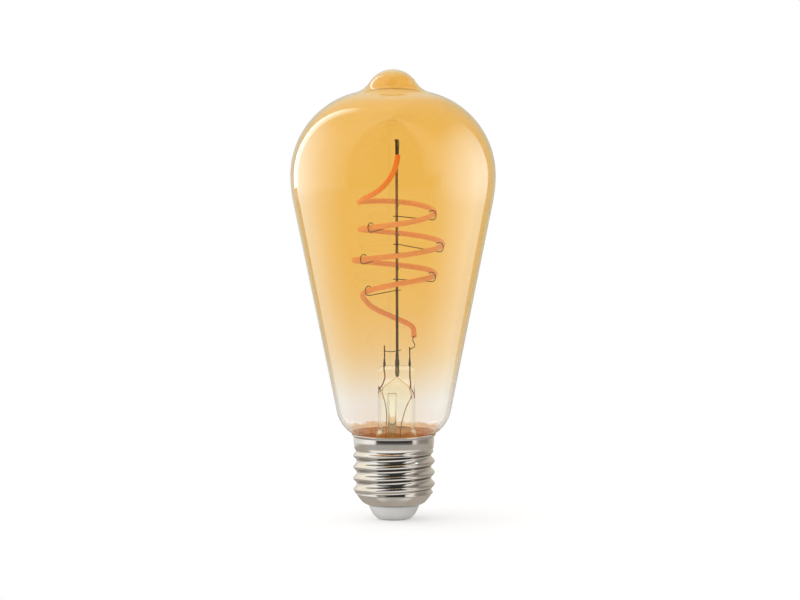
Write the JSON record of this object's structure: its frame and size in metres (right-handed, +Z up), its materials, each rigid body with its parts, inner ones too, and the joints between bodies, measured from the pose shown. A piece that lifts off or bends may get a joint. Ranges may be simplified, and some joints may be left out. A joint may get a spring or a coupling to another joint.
{
  "type": "smart light bulb",
  "caption": "Amber tapered glass bulb with a spiral LED filament on a wire mast, a glass stem, wireless driver electronics and an E27 screw cap.",
  "frame": {"origin": "centre of the flat bottom face of the centre contact, on the lamp's axis", "axes": "+Z up the lamp's axis towards the glass tip, -Y to the front, where the filament starts at its top end"},
  "size_m": [0.065, 0.065, 0.143],
  "materials": {
    "amber_glass": "smooth clear glass, amber from the tip down, fading to clear near the cap",
    "clear_glass": "smooth clear glass with a faint yellow-green cast",
    "nickel_plate": "bright nickel plate, slightly warm",
    "support_wire": "drawn wire, dull grey-brown",
    "seal_bead": "dark fused bead",
    "seal_wire": "oxidised copper-clad wire, dark red",
    "copper_wire": "bare copper",
    "phosphor_coat": "matt orange silicone coat, slightly translucent",
    "capping_cement": "matt brown cement",
    "white_plastic": "smooth white moulded plastic",
    "liner_film": "thin insulating film, pale amber",
    "board_laminate": "green solder mask",
    "moulded_black": "black moulding compound",
    "bare_can": "bare drawn metal can",
    "component_ceramic": "tan ceramic body",
    "neutral_sleeve": "blue wire insulation"
  },
  "bodies": {
    "root": {"glass_envelope": "amber_glass", "stem_glass": "clear_glass", "exhaust_tube": "clear_glass", "support_mast": "support_wire", "mast_root_bead": "seal_bead", "lead_inner_left": "support_wire", "lead_inner_right": "support_wire", "lead_bead_left": "seal_bead", "lead_bead_right": "seal_bead", "lead_seal_left": "seal_wire", "lead_seal_right": "seal_wire", "lead_outer_left": "copper_wire", "lead_outer_right": "copper_wire", "mast_jumper_wire": "support_wire", "filament_cord": "phosphor_coat", "filament_top_terminal": "support_wire", "filament_bottom_terminal": "support_wire", "filament_hook_back_1": "support_wire", "filament_hook_back_2": "support_wire", "filament_hook_back_3": "support_wire", "filament_hook_left_1": "support_wire", "filament_hook_left_2": "support_wire", "filament_hook_left_3": "support_wire", "filament_hook_right_1": "support_wire", "filament_hook_right_2": "support_wire", "filament_hook_right_3": "support_wire", "screw_shell": "nickel_plate", "capping_cement": "capping_cement", "cap_insulator": "white_plastic", "centre_contact": "nickel_plate", "board_liner": "liner_film", "driver_board": "board_laminate", "bulk_capacitor": "bare_can", "filter_inductor": "moulded_black", "bridge_rectifier": "moulded_black", "driver_chip": "moulded_black", "sense_resistor": "moulded_black", "ceramic_capacitor": "component_ceramic", "fusible_resistor": "component_ceramic", "radio_board": "board_laminate", "radio_shield_can": "bare_can", "radio_crystal": "bare_can", "radio_antenna": "copper_wire", "live_wire": "copper_wire", "neutral_wire": "neutral_sleeve"}
  },
  "joints": []
}
